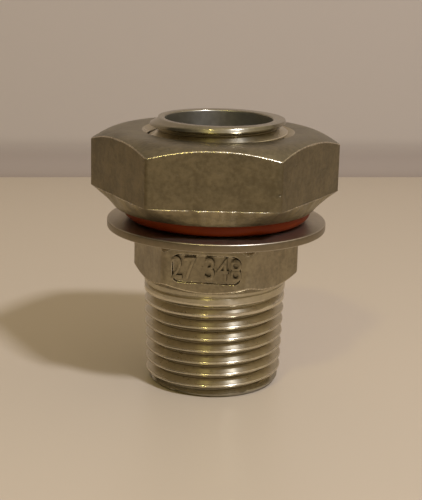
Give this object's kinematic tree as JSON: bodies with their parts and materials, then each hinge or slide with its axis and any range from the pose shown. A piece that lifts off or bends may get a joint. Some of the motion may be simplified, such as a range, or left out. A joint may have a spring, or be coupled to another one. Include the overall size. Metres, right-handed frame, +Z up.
{
  "type": "weldless bulkhead fitting",
  "caption": "Stainless hex nipple carrying a flat washer, a silicone sealing ring and a hexagonal locknut, clamped through a vessel wall to pass a pipe connection without welding.",
  "frame": {"origin": "centre of the nipple's lower end face, on the axis of the bore", "axes": "+Z up the bore towards the locknut, -Y out of the hexagon face that carries the cast panel"},
  "size_m": [0.0368, 0.0336, 0.0403],
  "materials": {
    "nipple_steel": "satin cast stainless with turned threads",
    "washer_steel": "satin stamped stainless",
    "silicone": "smooth orange-red silicone",
    "nut_steel": "fine-grained cast stainless, turned top"
  },
  "bodies": {
    "fitting": {"hex_nipple": "nipple_steel", "washer": "washer_steel"},
    "seal": {"o_ring": "silicone"},
    "nut": {"locknut": "nut_steel"}
  },
  "joints": [
    {"name": "seal_lift", "type": "slide", "parent": "fitting", "child": "seal", "axis": [0, 0, 1], "range_m": [-0.00023, 0.0109]},
    {"name": "nut_turn", "type": "hinge", "parent": "seal", "child": "nut", "pos_m": [0, 0, 0.033], "axis": [0, 0, 1], "range_deg": [-45, 2160]}
  ],
  "couplings": [
    {"joint": "seal_lift", "follows": "nut_turn", "m_per_rad": 0.00028875}
  ]
}
